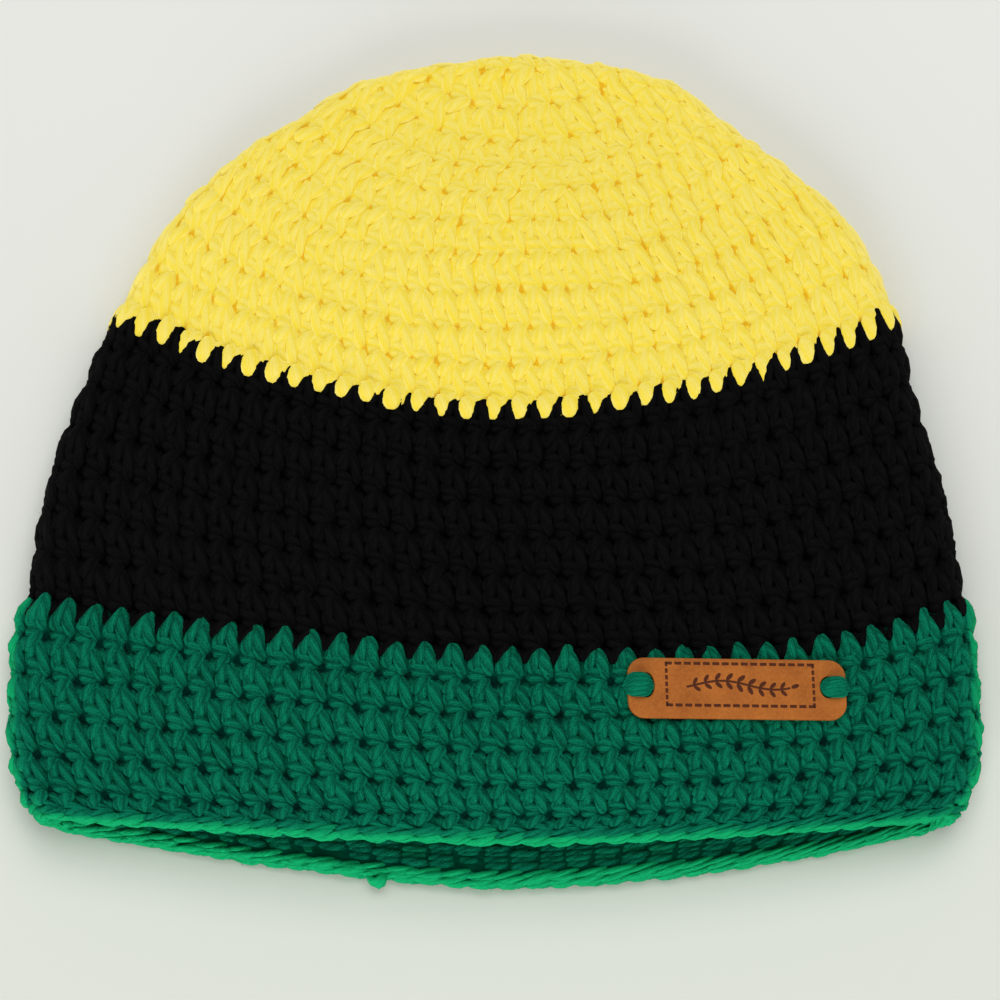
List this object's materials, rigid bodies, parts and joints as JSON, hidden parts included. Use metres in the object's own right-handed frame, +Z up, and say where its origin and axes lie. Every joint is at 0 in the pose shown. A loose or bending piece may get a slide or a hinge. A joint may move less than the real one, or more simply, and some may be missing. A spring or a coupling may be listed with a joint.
{
  "type": "crocheted beanie",
  "caption": "Close-fitting crocheted beanie in yellow, black and green bands with a sewn-on leather label, laid flat",
  "frame": {"origin": "middle of the laid cap's outline, on the floor it lies on", "axes": "+X across the cap, towards the label's side, +Y from the mouth to the crown, +Z up from the floor"},
  "size_m": [0.2368, 0.2238, 0.0278],
  "materials": {
    "yellow_yarn": "fuzzy acrylic yarn",
    "black_yarn": "fuzzy acrylic yarn",
    "green_yarn": "fuzzy acrylic yarn",
    "tan_leather": "matte with engraved lines"
  },
  "bodies": {
    "root": {"crown": "yellow_yarn", "middle_band": "black_yarn", "brim_band": "green_yarn", "leather_tag": "tan_leather", "tag_loop_left": "green_yarn", "tag_loop_right": "green_yarn"}
  },
  "joints": []
}
